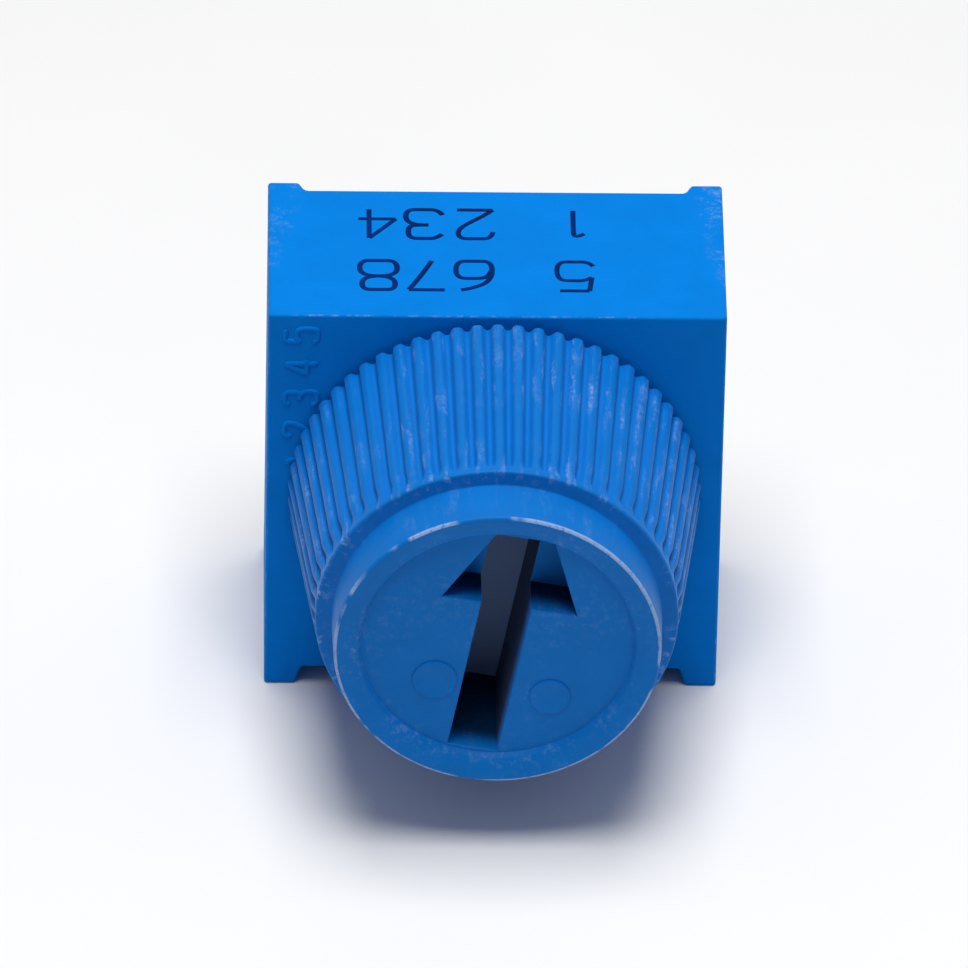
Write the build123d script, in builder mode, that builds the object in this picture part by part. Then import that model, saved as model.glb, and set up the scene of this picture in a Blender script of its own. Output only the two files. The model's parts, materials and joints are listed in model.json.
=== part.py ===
"""Single-turn trimmer potentiometer with a knurled finger knob, built piece by piece.

Millimetres. +X is to the right and +Z is up when the knob faces the viewer, and +Y points from the knob
to the pins. The part stands on the two rails along its underside. The origin is the middle of the
footprint of everything, pins included, on the surface that the rails stand on.

The knob is pressed on the rotor's stub. The rotor turns in the housing's bore, sealed by an O-ring, and
carries a sprung contact over a C-shaped resistive track that is printed on a ceramic plate. Three pins
pass through the plate, are soldered to its films and leave through the resin that closes the back.
"""

import math
import os

from build123d import *

# Housing: a square block with two rails below and four standoffs behind.
housing_width = 9.53
housing_height = 9.53
housing_depth = 4.55
housing_edge = 0.08
rail_height = 0.43
rail_width = 0.65
foot_slope = 0.13
standoff_height = 0.28
standoff_width = 0.65
front_wall = 1.25
side_wall = 0.66
cavity_wall = 0.75
axis_offset = 0.14

# Raised plain digits down the left of the front face.
digit_size = 0.80
digit_width = 0.46
digit_stroke = 0.10
digit_pitch = 0.80
digit_relief = 0.05
digit_margin = 0.28
raised_digits = (5, 4, 3, 2, 1)

# Knob: a tapered knurled drum, a plain collar and a sunk face with a driver slot and an arrow.
knob_length = 5.61
knob_gap = 0.10
knurl_length = 4.50
knurl_rear_radius = 4.33
knurl_front_radius = 3.76
knurl_count = 62
knurl_depth = 0.13
knurl_ridge_share = 0.60
knurl_rear_chamfer = 0.07
knurl_front_chamfer = 0.05
knurl_rim = 0.14
collar_rear_radius = 3.42
collar_front_radius = 3.39
collar_edge = 0.07
rim_dish = 0.14
face_radius = 2.87
face_depth = 0.26
face_draft = 0.04
slot_width = 1.04
slot_depth = 2.60
arrow_depth = 1.00
arrow_shift = 0.07
arrow_base_height = 0.97
arrow_half_base = 1.42
arrow_half_angle = 24.8
ejector_mark_radius = 0.42
ejector_mark_height = 0.05
ejector_mark_places = ((-1.10, -1.14), (1.33, -1.14))
knob_wall = 0.85
knob_boss_wall = 0.70

# Rotor, its seal and its stops.
pointer_tilt = 10.0
stub_radius = 1.90
stub_length = 2.00
stub_flat = 1.45
bore_radius = 2.60
bearing_clearance = 0.03
running_clearance = 0.05
flange_thickness = 0.60
groove_width = 0.72
groove_depth = 0.46
seal_clearance = 0.03
rotation_range = 280.0
lug_half_angle = 20.0
lug_reach = 0.50
stop_clearance_angle = 0.5
stake_radius = 0.22
stake_ring = 1.75
stake_height = 0.22

# Sprung contact.
spring_thickness = 0.08
spring_radius = 2.30
finger_count = 3
finger_width = 0.28
finger_pitch_angle = 6.5
finger_toe = 0.14
tongue_width = 0.50
contact_clearance = 0.015
contact_space = 0.70

# Ceramic plate and its printed films.
plate_thickness = 0.80
plate_clearance = 0.05
film_thickness = 0.04
track_width = 0.42
track_margin = 0.10
track_angle = 264.0
pad_angle = 18.0
pad_gap = 0.07
collector_radius = 0.70
arm_width = 0.60
eyelet_radius = 0.58

# Pins, their solder and the resin behind them.
pin_radius = 0.255
pin_root_radius = 0.225
pin_length = 3.30
pin_tip_chamfer = 0.08
end_pin_pitch = 5.08
end_pin_drop = 1.015
wiper_pin_rise = 1.525
pin_hole_radius = 0.31
solder_radius = 0.62
solder_height = 0.40
resin_recess = 0.16

# Places along Y, from the front of the knob to the tips of the pins.
overall_length = knob_length + knob_gap + housing_depth + standoff_height + pin_length
knob_front = -overall_length / 2
knob_rear = knob_front + knob_length
block_front = knob_rear + knob_gap
block_rear = block_front + housing_depth
board_seat = block_rear + standoff_height
pin_tip = board_seat + pin_length
cavity_front = block_front + front_wall
flange_front = cavity_front + running_clearance
flange_rear = flange_front + flange_thickness
plate_front = flange_rear + contact_space
plate_rear = plate_front + plate_thickness
film_front = plate_front - film_thickness
resin_rear = block_rear - resin_recess
collar_rear = knob_front + (knob_length - knurl_length)
face_floor = knob_front + face_depth
slot_floor = face_floor + slot_depth
stub_front = block_front - stub_length

# Places across, seen from the front with the rotor's axis in the middle.
block_height = housing_height - rail_height
axis_height = rail_height + block_height / 2 + axis_offset
cavity_radius = housing_height - axis_height - cavity_wall
pocket_width = housing_width - 2 * side_wall
pocket_height = block_height - 2 * side_wall
pocket_middle = rail_height + block_height / 2 - axis_height
lug_inner_radius = cavity_radius - lug_reach
flange_radius = lug_inner_radius - running_clearance
tab_radius = cavity_radius - running_clearance
bearing_radius = bore_radius - bearing_clearance
track_outer_radius = cavity_radius - track_margin
track_inner_radius = track_outer_radius - track_width
track_middle_radius = track_outer_radius - track_width / 2
left_pin_place = (-end_pin_pitch / 2, -end_pin_drop)
right_pin_place = (end_pin_pitch / 2, -end_pin_drop)
wiper_pin_place = (0, wiper_pin_rise)
pin_places = (left_pin_place, wiper_pin_place, right_pin_place)
spin_axis = Axis((0, 0, axis_height), (0, 1, 0))


def facing_front(y):
    """The plane across the rotor's axis at y, whose sketches read as seen from the front."""
    return Plane((0, y, axis_height), x_dir=(1, 0, 0), z_dir=(0, -1, 0))


def turned_with_rotor(y):
    """The same plane, turned so that its own up is where the rotor's pointer stands."""
    own_right = Vector(1, 0, 0).rotate(Axis.Y, pointer_tilt)
    return Plane((0, y, axis_height), x_dir=own_right, z_dir=(0, -1, 0))


def half_section(turn=0):
    """A plane through the axis: its x runs along +Y, its y is the radius, turned clockwise from up."""
    radial = Vector(0, 0, 1).rotate(Axis.Y, turn)
    return Plane((0, 0, axis_height), x_dir=(0, 1, 0), z_dir=Vector(0, 1, 0).cross(radial))


def ring_sector(inner, outer, middle_angle, half_angle):
    """The sketch of a sector of a ring, its middle at an angle clockwise from up."""
    start, end = (math.radians(90 - middle_angle + turn * half_angle) for turn in (1, -1))
    middle = math.radians(90 - middle_angle)

    def at(radius, angle):
        return (radius * math.cos(angle), radius * math.sin(angle))

    with BuildSketch() as sector:
        with BuildLine():
            ThreePointArc(at(outer, start), at(outer, middle), at(outer, end))
            Line(at(outer, end), at(inner, end))
            ThreePointArc(at(inner, end), at(inner, middle), at(inner, start))
            Line(at(inner, start), at(outer, start))
        make_face()
    return sector.sketch


def knurl_outline(crest_radius):
    """The sketch of the drum's outline: rounded ridges with narrower rounded valleys."""
    step = 2 * math.pi / knurl_count
    flank_radius = crest_radius - knurl_depth * knurl_ridge_share
    valley_radius = crest_radius - knurl_depth

    def at(radius, turns):
        return (radius * math.cos(turns * step), radius * math.sin(turns * step))

    half_ridge = knurl_ridge_share / 2
    with BuildSketch() as outline:
        with BuildLine():
            for ridge in range(knurl_count):
                crest = ridge + 0.5
                ThreePointArc(
                    at(flank_radius, crest - half_ridge),
                    at(crest_radius, crest),
                    at(flank_radius, crest + half_ridge),
                )
                ThreePointArc(
                    at(flank_radius, crest + half_ridge),
                    at(valley_radius, crest + 0.5),
                    at(flank_radius, crest + 1 - half_ridge),
                )
        make_face()
    return outline.sketch


def digit_bars(digit):
    """The strokes of a plain digit as (middle x, middle y, width, height), in a frame centred on it."""
    half_width = (digit_width - digit_stroke) / 2
    half_height = (digit_size - digit_stroke) / 2
    flat = digit_width
    tall = half_height + digit_stroke
    bars = {
        "top": (0, half_height, flat, digit_stroke),
        "middle": (0, 0, flat, digit_stroke),
        "bottom": (0, -half_height, flat, digit_stroke),
        "upper_left": (-half_width, half_height / 2, digit_stroke, tall),
        "upper_right": (half_width, half_height / 2, digit_stroke, tall),
        "lower_left": (-half_width, -half_height / 2, digit_stroke, tall),
        "lower_right": (half_width, -half_height / 2, digit_stroke, tall),
    }
    strokes = {
        1: "upper_right lower_right",
        2: "top upper_right middle lower_left bottom",
        3: "top upper_right middle lower_right bottom",
        4: "upper_left upper_right middle lower_right",
        5: "top upper_left middle lower_right bottom",
    }
    return [bars[name] for name in strokes[digit].split()]


# Housing: block, rails, standoffs, bore, rotor cavity with its stop lug, and the pocket for the plate.
half_width = housing_width / 2
rail_inner = half_width - rail_width
with BuildPart() as housing:
    with BuildSketch(facing_front(block_front)) as block_outline:
        with Locations((0, housing_height / 2 - axis_height)):
            Rectangle(housing_width, housing_height)
        fillet(block_outline.vertices(), housing_edge)
        with BuildLine():
            Polyline(
                (-rail_inner, -axis_height),
                (-rail_inner + foot_slope, rail_height - axis_height),
                (rail_inner - foot_slope, rail_height - axis_height),
                (rail_inner, -axis_height),
                close=True,
            )
        make_face(mode=Mode.SUBTRACT)
    extrude(amount=-(housing_depth + standoff_height))
    front_edges = housing.faces().sort_by(Axis.Y)[0].edges()
    fillet(front_edges.filter_by(lambda edge: edge.center().Z > 2 * rail_height), housing_edge)
    # Two crossing channels leave a standoff at each rear corner.
    foot_span = half_width - standoff_width
    foot_height_span = housing_height / 2 - standoff_width
    with BuildSketch(Plane.XY) as upright_channel:
        with BuildLine():
            Polyline(
                (-foot_span, board_seat),
                (-foot_span + foot_slope, block_rear),
                (foot_span - foot_slope, block_rear),
                (foot_span, board_seat),
                close=True,
            )
        make_face()
    extrude(amount=housing_height, mode=Mode.SUBTRACT)
    with BuildSketch(Plane.YZ) as level_channel:
        with BuildLine():
            Polyline(
                (board_seat, housing_height / 2 - foot_height_span),
                (block_rear, housing_height / 2 - foot_height_span + foot_slope),
                (block_rear, housing_height / 2 + foot_height_span - foot_slope),
                (board_seat, housing_height / 2 + foot_height_span),
                close=True,
            )
        make_face()
    extrude(amount=half_width, both=True, mode=Mode.SUBTRACT)
    with BuildSketch(facing_front(board_seat)):
        with Locations((0, pocket_middle)):
            Rectangle(pocket_width, pocket_height)
    extrude(amount=board_seat - plate_front, mode=Mode.SUBTRACT)
    with BuildSketch(facing_front(plate_front)):
        Circle(cavity_radius)
    extrude(amount=plate_front - cavity_front, mode=Mode.SUBTRACT)
    with BuildSketch(facing_front(cavity_front)):
        Circle(bore_radius)
    extrude(amount=front_wall, mode=Mode.SUBTRACT)
    with BuildSketch(facing_front(cavity_front)):
        add(ring_sector(lug_inner_radius, cavity_radius + cavity_wall / 2, 180, lug_half_angle))
    extrude(amount=-(flange_rear - cavity_front))
    for place, digit in enumerate(raised_digits):
        digit_middle = housing_height - digit_margin - digit_width / 2 - place * digit_pitch
        digit_plane = Plane(
            (digit_margin + digit_size / 2 - half_width, block_front, digit_middle),
            x_dir=(0, 0, 1),
            z_dir=(0, -1, 0),
        )
        with BuildSketch(digit_plane):
            for x, y, width, height in digit_bars(digit):
                with Locations((x, y)):
                    Rectangle(width, height)
        extrude(amount=digit_relief)
housing.part.label = "housing"

# Rotor: stub with two flats, bearing with the seal's groove, flange, stop tab and two staking posts.
groove_middle = block_front + front_wall / 2
with BuildPart() as rotor:
    with BuildSketch(half_section()):
        with BuildLine():
            Polyline(
                (stub_front, 0),
                (stub_front, stub_radius),
                (block_front, stub_radius),
                (block_front, bearing_radius),
                (groove_middle - groove_width / 2, bearing_radius),
                (groove_middle - groove_width / 2, bearing_radius - groove_depth),
                (groove_middle + groove_width / 2, bearing_radius - groove_depth),
                (groove_middle + groove_width / 2, bearing_radius),
                (flange_front, bearing_radius),
                (flange_front, flange_radius),
                (flange_rear, flange_radius),
                (flange_rear, 0),
                close=True,
            )
        make_face()
    revolve(axis=spin_axis)
    with BuildSketch(turned_with_rotor(stub_front)):
        for side in (-1, 1):
            with Locations((side * (stub_flat + stub_radius / 2), 0)):
                Rectangle(stub_radius, 2 * stub_radius)
    extrude(amount=-stub_length, mode=Mode.SUBTRACT)
    tab_half_angle = (360 - rotation_range) / 2 - lug_half_angle - stop_clearance_angle
    with BuildSketch(turned_with_rotor(flange_rear)):
        add(ring_sector(flange_radius - running_clearance, tab_radius, 0, tab_half_angle))
    extrude(amount=flange_thickness)
    with BuildSketch(turned_with_rotor(flange_rear)):
        with PolarLocations(stake_ring, 2):
            Circle(stake_radius)
    extrude(amount=-stake_height)
rotor.part.label = "rotor"

# Seal: a round-section ring in the rotor's groove, pressed against the bore.
groove_floor = bearing_radius - groove_depth
seal_radius = (bore_radius - groove_floor - seal_clearance) / 2
with BuildPart() as o_ring:
    with BuildSketch(half_section()):
        with Locations((groove_middle, groove_floor + seal_radius)):
            Circle(seal_radius)
    revolve(axis=spin_axis)
o_ring.part.label = "o_ring"

# Knob: knurled drum, collar, sunk face, slot and arrow in front, and a socket for the stub behind.
with BuildPart() as knob:
    with BuildSketch(facing_front(knob_rear)):
        add(knurl_outline(knurl_rear_radius))
    with BuildSketch(facing_front(collar_rear)):
        add(knurl_outline(knurl_front_radius))
    loft(ruled=True)
    # A plain rim closes the ridges' front ends, and the shape that encloses the drum bevels both ends.
    with BuildSketch(facing_front(collar_rear)):
        Circle(knurl_front_radius)
    extrude(amount=-knurl_rim)
    with BuildSketch(half_section()):
        with BuildLine():
            Polyline(
                (collar_rear, 0),
                (collar_rear, knurl_front_radius - knurl_front_chamfer),
                (collar_rear + knurl_front_chamfer, knurl_front_radius),
                (collar_rear + knurl_rim, knurl_front_radius + knurl_front_chamfer),
                (knob_rear - knurl_rear_chamfer, knurl_rear_radius + knurl_rear_chamfer / 4),
                (knob_rear, knurl_rear_radius - knurl_rear_chamfer),
                (knob_rear, 0),
                close=True,
            )
        make_face()
    revolve(axis=spin_axis, mode=Mode.INTERSECT)
    with BuildSketch(half_section()):
        with BuildLine():
            Polyline(
                (collar_rear, 0),
                (collar_rear, collar_rear_radius),
                (knob_front + collar_edge, collar_front_radius),
                (knob_front, collar_front_radius - collar_edge),
                (knob_front + rim_dish, face_radius),
                (face_floor, face_radius - face_draft),
                (face_floor, 0),
                close=True,
            )
        make_face()
    revolve(axis=spin_axis)
    with BuildSketch(turned_with_rotor(face_floor)):
        Circle(face_radius - face_draft)
        Rectangle(slot_width, 3 * face_radius, mode=Mode.INTERSECT)
    extrude(amount=-slot_depth, mode=Mode.SUBTRACT)
    arrow_tip = arrow_base_height + arrow_half_base / math.tan(math.radians(arrow_half_angle))
    with BuildSketch(turned_with_rotor(face_floor)):
        with BuildLine():
            Polyline(
                (arrow_shift - arrow_half_base, arrow_base_height),
                (arrow_shift, arrow_tip),
                (arrow_shift + arrow_half_base, arrow_base_height),
                close=True,
            )
        make_face()
        Circle(face_radius - face_draft, mode=Mode.INTERSECT)
    extrude(amount=-arrow_depth, mode=Mode.SUBTRACT)
    with BuildSketch(turned_with_rotor(face_floor)):
        with Locations(*ejector_mark_places):
            Circle(ejector_mark_radius)
    extrude(amount=ejector_mark_height)
    # Socket for the stub, and the ring-shaped core that thins the wall behind the face.
    with BuildSketch(turned_with_rotor(knob_rear)):
        Circle(stub_radius)
        Rectangle(2 * stub_flat, 2 * stub_radius, mode=Mode.INTERSECT)
    extrude(amount=knob_rear - stub_front, mode=Mode.SUBTRACT)
    with BuildSketch(facing_front(knob_rear)):
        Circle(knurl_rear_radius - knob_wall)
        Circle(stub_radius + knob_boss_wall, mode=Mode.SUBTRACT)
    extrude(amount=knob_rear - slot_floor - knob_wall, mode=Mode.SUBTRACT)
knob.part.label = "knob"

# Contact: a stamped plate on the flange with outer fingers for the track and a tongue for the collector.
contact_front = film_front - contact_clearance - spring_thickness


def bent_strip(points):
    """The sketch of a bent strip of spring stock, whose points run along its front surface."""
    rear_side = [(y + spring_thickness, radius) for y, radius in reversed(points)]
    with BuildSketch() as strip:
        with BuildLine():
            Polyline(*points, *rear_side, close=True)
        make_face()
    return strip.sketch


spring_hole = collector_radius + finger_width
finger_bends = (
    (flange_rear, spring_radius - finger_width),
    (flange_rear, spring_radius + finger_toe),
    (contact_front, track_middle_radius - finger_toe / 2),
    (contact_front, track_middle_radius + finger_toe / 2),
    (contact_front - spring_thickness, track_outer_radius - finger_toe / 2),
)
tongue_bends = (
    (flange_rear, spring_hole + finger_width),
    (flange_rear, spring_hole - finger_toe / 2),
    (contact_front, finger_toe),
    (contact_front, -finger_toe),
    (contact_front - spring_thickness, -2 * finger_toe),
)
with BuildPart() as wiper_contact:
    with BuildSketch(turned_with_rotor(flange_rear)):
        Circle(spring_radius)
        Circle(spring_hole, mode=Mode.SUBTRACT)
        with PolarLocations(stake_ring, 2):
            Circle(stake_radius, mode=Mode.SUBTRACT)
    extrude(amount=-spring_thickness)
    for finger in range(finger_count):
        turn = pointer_tilt + (finger - (finger_count - 1) / 2) * finger_pitch_angle
        with BuildSketch(half_section(turn)):
            add(bent_strip(finger_bends))
        extrude(amount=finger_width / 2, both=True)
    with BuildSketch(half_section(pointer_tilt + 180)):
        add(bent_strip(tongue_bends))
    extrude(amount=tongue_width / 2, both=True)
wiper_contact.part.label = "wiper_contact"

# Ceramic plate: it stands on the pocket's ledge and closes the rotor's cavity.
with BuildPart() as ceramic_plate:
    with BuildSketch(facing_front(plate_rear)):
        with Locations((0, pocket_middle)):
            Rectangle(pocket_width - 2 * plate_clearance, pocket_height - 2 * plate_clearance)
        with Locations(*pin_places):
            Circle(pin_hole_radius, mode=Mode.SUBTRACT)
    extrude(amount=plate_thickness)
ceramic_plate.part.label = "ceramic_plate"

# Resistive track: a printed arc whose gap is at the bottom.
with BuildPart() as resistive_track:
    with BuildSketch(facing_front(plate_front)):
        add(ring_sector(track_inner_radius, track_outer_radius, 0, track_angle / 2))
    extrude(amount=film_thickness)
resistive_track.part.label = "resistive_track"

# End pads: each caps one end of the track and runs back along its inner side, round the end pin's hole.
pin_ring = math.hypot(*right_pin_place)
pin_angle = math.degrees(math.atan2(right_pin_place[0], right_pin_place[1]))
pad_end = track_angle / 2 + pad_angle
pad_start = pin_angle - math.degrees(eyelet_radius / pin_ring)


def end_pad_outline(side):
    """The sketch of one end pad: side is 1 on the right and -1 on the left."""
    pin_place = (side * right_pin_place[0], right_pin_place[1])
    cap_middle = side * (pad_end - pad_angle / 2)
    with BuildSketch() as outline:
        add(ring_sector(pin_ring, track_outer_radius, cap_middle, pad_angle / 2))
        add(
            ring_sector(
                pin_ring - eyelet_radius,
                track_inner_radius - pad_gap,
                side * (pad_start + pad_end) / 2,
                (pad_end - pad_start) / 2,
            )
        )
        with Locations(pin_place):
            Circle(pin_hole_radius, mode=Mode.SUBTRACT)
    return outline.sketch


with BuildPart() as end_pad_left:
    with BuildSketch(facing_front(plate_front)):
        add(end_pad_outline(-1))
    extrude(amount=film_thickness)
end_pad_left.part.label = "end_pad_left"

with BuildPart() as end_pad_right:
    with BuildSketch(facing_front(plate_front)):
        add(end_pad_outline(1))
    extrude(amount=film_thickness)
end_pad_right.part.label = "end_pad_right"

# Collector: a disc under the tongue with an arm to the wiper pin.
with BuildPart() as collector:
    with BuildSketch(facing_front(plate_front)):
        Circle(collector_radius)
        with Locations((0, wiper_pin_rise / 2)):
            Rectangle(arm_width, wiper_pin_rise)
        with Locations(wiper_pin_place):
            Circle(eyelet_radius)
            Circle(pin_hole_radius, mode=Mode.SUBTRACT)
    extrude(amount=film_thickness)
collector.part.label = "collector"


def pin_section(place):
    """A half section through one pin's own axis: its x runs along +Y and its y is the radius."""
    return Plane((place[0], 0, axis_height + place[1]), x_dir=(0, 1, 0), z_dir=(1, 0, 0))


def pin_axis(place):
    """The axis of the pin at a place."""
    return Axis((place[0], 0, axis_height + place[1]), (0, 1, 0))


def pin_profile():
    """The sketch of half of a pin: a root that widens to the resin's surface, the wire, a bevelled tip."""
    with BuildSketch() as profile:
        with BuildLine():
            Polyline(
                (film_front, 0),
                (film_front, pin_root_radius),
                (resin_rear, pin_radius),
                (pin_tip - pin_tip_chamfer, pin_radius),
                (pin_tip, pin_radius - pin_tip_chamfer),
                (pin_tip, 0),
                close=True,
            )
        make_face()
    return profile.sketch


def root_radius_at(y):
    """The radius of a pin's root at y."""
    share = (y - film_front) / (resin_rear - film_front)
    return pin_root_radius + (pin_radius - pin_root_radius) * share


def solder_profile():
    """The sketch of half of a solder joint: it fills the hole and cones up behind the plate."""
    with BuildSketch() as profile:
        with BuildLine():
            Polyline(
                (film_front, pin_root_radius),
                (film_front, pin_hole_radius),
                (plate_rear, pin_hole_radius),
                (plate_rear, solder_radius),
                (plate_rear + solder_height, root_radius_at(plate_rear + solder_height)),
                close=True,
            )
        make_face()
    return profile.sketch


# Pins: round wires soldered into the plate.
with BuildPart() as end_pin_left:
    with BuildSketch(pin_section(left_pin_place)):
        add(pin_profile())
    revolve(axis=pin_axis(left_pin_place))
end_pin_left.part.label = "end_pin_left"

with BuildPart() as wiper_pin:
    with BuildSketch(pin_section(wiper_pin_place)):
        add(pin_profile())
    revolve(axis=pin_axis(wiper_pin_place))
wiper_pin.part.label = "wiper_pin"

with BuildPart() as end_pin_right:
    with BuildSketch(pin_section(right_pin_place)):
        add(pin_profile())
    revolve(axis=pin_axis(right_pin_place))
end_pin_right.part.label = "end_pin_right"

# Solder: a sleeve through the plate's hole and a cone behind it.
with BuildPart() as solder_left:
    with BuildSketch(pin_section(left_pin_place)):
        add(solder_profile())
    revolve(axis=pin_axis(left_pin_place))
solder_left.part.label = "solder_left"

with BuildPart() as solder_middle:
    with BuildSketch(pin_section(wiper_pin_place)):
        add(solder_profile())
    revolve(axis=pin_axis(wiper_pin_place))
solder_middle.part.label = "solder_middle"

with BuildPart() as solder_right:
    with BuildSketch(pin_section(right_pin_place)):
        add(solder_profile())
    revolve(axis=pin_axis(right_pin_place))
solder_right.part.label = "solder_right"

# Resin: it fills the pocket behind the plate, round the solder and the pins.
with BuildPart() as resin:
    with BuildSketch(facing_front(resin_rear)):
        with Locations((0, pocket_middle)):
            Rectangle(pocket_width, pocket_height)
    extrude(amount=resin_rear - plate_rear)
    for joint in (solder_left, solder_middle, solder_right):
        add(joint.part, mode=Mode.SUBTRACT)
    for pin in (end_pin_left, wiper_pin, end_pin_right):
        add(pin.part, mode=Mode.SUBTRACT)
resin.part.label = "resin"

os.makedirs("parts", exist_ok=True)
export_step(housing.part, "parts/housing.step")
export_step(knob.part, "parts/knob.step")
export_step(rotor.part, "parts/rotor.step")
export_step(o_ring.part, "parts/o_ring.step")
export_step(wiper_contact.part, "parts/wiper_contact.step")
export_step(ceramic_plate.part, "parts/ceramic_plate.step")
export_step(resistive_track.part, "parts/resistive_track.step")
export_step(end_pad_left.part, "parts/end_pad_left.step")
export_step(end_pad_right.part, "parts/end_pad_right.step")
export_step(collector.part, "parts/collector.step")
export_step(end_pin_left.part, "parts/end_pin_left.step")
export_step(wiper_pin.part, "parts/wiper_pin.step")
export_step(end_pin_right.part, "parts/end_pin_right.step")
export_step(solder_left.part, "parts/solder_left.step")
export_step(solder_middle.part, "parts/solder_middle.step")
export_step(solder_right.part, "parts/solder_right.step")
export_step(resin.part, "parts/resin.step")
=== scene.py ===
"""A single-turn trimmer potentiometer with a knurled finger knob: its finished surfaces and its stage."""

import json
import math
import random

import bmesh
import bpy
from mathutils import Matrix, Vector


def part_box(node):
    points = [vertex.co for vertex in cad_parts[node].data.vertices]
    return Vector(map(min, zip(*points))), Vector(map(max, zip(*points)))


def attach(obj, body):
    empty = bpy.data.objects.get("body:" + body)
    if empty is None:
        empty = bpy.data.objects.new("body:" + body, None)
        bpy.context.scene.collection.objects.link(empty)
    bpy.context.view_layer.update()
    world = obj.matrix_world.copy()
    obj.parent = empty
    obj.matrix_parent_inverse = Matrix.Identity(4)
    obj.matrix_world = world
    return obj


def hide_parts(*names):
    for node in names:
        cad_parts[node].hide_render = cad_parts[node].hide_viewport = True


bl_info = {
    "name": "Trimmer potentiometer",
    "version": (1, 0, 0),
    "blender": (4, 5, 0),
    "location": "View3D > Sidebar > Trimmer",
    "description": "Models and finishes a square trimmer potentiometer with a knurled knob, piece by piece",
    "category": "Add Mesh",
}

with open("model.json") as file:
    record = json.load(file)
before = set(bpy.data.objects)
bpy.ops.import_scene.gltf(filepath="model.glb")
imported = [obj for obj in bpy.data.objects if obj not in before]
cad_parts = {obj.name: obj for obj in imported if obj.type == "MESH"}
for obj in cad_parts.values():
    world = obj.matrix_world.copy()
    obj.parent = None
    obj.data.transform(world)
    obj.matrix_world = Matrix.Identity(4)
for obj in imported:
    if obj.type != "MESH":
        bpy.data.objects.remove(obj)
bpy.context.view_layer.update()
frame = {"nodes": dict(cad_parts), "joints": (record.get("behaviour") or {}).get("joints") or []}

# Pieces are shaped in millimetres and shrunk to metres when they are finished.
MM = 0.001


def box_mm(node):
    """The lowest and highest corner of a node, in millimetres."""
    low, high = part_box(node)
    return low / MM, high / MM


knob_low, knob_high = box_mm("knob")
housing_low, housing_high = box_mm("housing")
resin_low, resin_high = box_mm("resin")
socket_floor = box_mm("rotor")[0].y
axis_height = frame["joints"][0]["pos_m"][2] / MM
turn_range = frame["joints"][0]["range_deg"]
pointer_tilt = math.radians(-sum(turn_range) / 2)
INK_THICKNESS = 0.004
BUMP_REACH = 0.00001  # in metres, how far the grain's bump seems to rise


# ---------------------------------------------------------------- sizes and colours


def length(name, description, millimetres):
    """A size that a user can change, shown in the scene's own unit."""
    return bpy.props.FloatProperty(
        name=name,
        description=description,
        default=millimetres * MM,
        min=0.0,
        precision=6,
        unit="LENGTH",
    )


def colour(name, description, red, green, blue):
    """A colour that a user can change, as linear red, green and blue."""
    return bpy.props.FloatVectorProperty(
        name=name,
        description=description,
        subtype="COLOR",
        size=3,
        min=0.0,
        max=1.0,
        default=(red, green, blue),
    )


class KnobSizes(bpy.types.PropertyGroup):
    """Sizes of the knurled knob."""

    knurl_count: bpy.props.IntProperty(
        name="Ridges", description="Number of ridges round the drum", default=62, min=8, max=200
    )
    knurl_depth: length("Ridge depth", "Depth of the valleys between the ridges", 0.13)
    knurl_length: length("Drum length", "Length of the knurled drum", 4.5)
    drum_front_radius: length("Drum front radius", "Radius over the ridges at the drum's front", 3.76)
    collar_rear_radius: length("Collar rear radius", "Radius of the collar where it meets the drum", 3.42)
    collar_front_radius: length("Collar front radius", "Radius of the collar at its front edge", 3.39)
    rim_dish: length("Rim dish", "Depth that the rim falls away inwards", 0.14)
    face_radius: length("Face radius", "Radius of the sunk face at its mouth", 2.87)
    face_depth: length("Face depth", "Depth of the sunk face behind the knob's front", 0.26)
    slot_width: length("Slot width", "Width of the driver slot", 1.04)
    slot_depth: length("Slot depth", "Depth of the driver slot below the face", 2.60)
    arrow_depth: length("Arrow depth", "Depth of the arrow below the face", 1.00)
    gap: length("Gap", "Gap between the knob and the housing", 0.10)


class HousingSizes(bpy.types.PropertyGroup):
    """Sizes of the housing."""

    rail_height: length("Rail height", "Height of the two rails under the block", 0.43)
    foot_width: length("Foot width", "Width of the rails and standoffs at their tips", 0.65)
    foot_slope: length("Foot slope", "How much wider the rails and standoffs are at their roots", 0.13)
    standoff_height: length("Standoff height", "Height of the standoffs behind the block", 0.28)
    edge_radius: length("Edge radius", "Radius of the block's edges", 0.07)
    digit_height: length("Digit height", "Height of the raised digits", 0.80)
    digit_width: length("Digit width", "Width of the raised digits", 0.46)
    digit_pitch: length("Digit pitch", "Distance from one raised digit to the next", 0.80)
    print_width: length("Print width", "Width of the printed digits", 0.86)
    print_height: length("Print height", "Height of the printed digits", 1.16)
    print_stroke: length("Print stroke", "Width of the printed strokes", 0.115)


class FinishColours(bpy.types.PropertyGroup):
    """Colours of the finishes."""

    housing_blue: colour("Housing", "Moulded plastic of the housing", 0.0006, 0.190, 0.655)
    knob_blue: colour("Knob", "Moulded plastic of the knob", 0.0008, 0.152, 0.535)
    # Besides the real scuffs, this colour paints the reflection on the deepest floor of the slot and the
    # arrow.
    scuff_and_reflection: colour("Scuffs", "Rubbed and stress-whitened plastic", 0.30, 0.42, 0.70)
    print_blue: colour("Print", "Ink of the printed digits", 0.0005, 0.020, 0.13)
    resin_blue: colour("Resin", "Potting resin behind the plate", 0.004, 0.060, 0.23)
    rotor_white: colour("Rotor", "Moulded plastic of the rotor", 0.74, 0.72, 0.65)
    tin: colour("Tin", "Tinned wire of the pins", 0.62, 0.62, 0.60)


# ---------------------------------------------------------------- mesh tools


def clear_selection():
    """Leaves edit mode and deselects every object."""
    if bpy.context.object and bpy.context.object.mode != "OBJECT":
        bpy.ops.object.mode_set(mode="OBJECT")
    bpy.ops.object.select_all(action="DESELECT")


def choose(*things):
    """Selects objects, the first one active."""
    clear_selection()
    for thing in things:
        thing.select_set(True)
    bpy.context.view_layer.objects.active = things[0]


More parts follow.
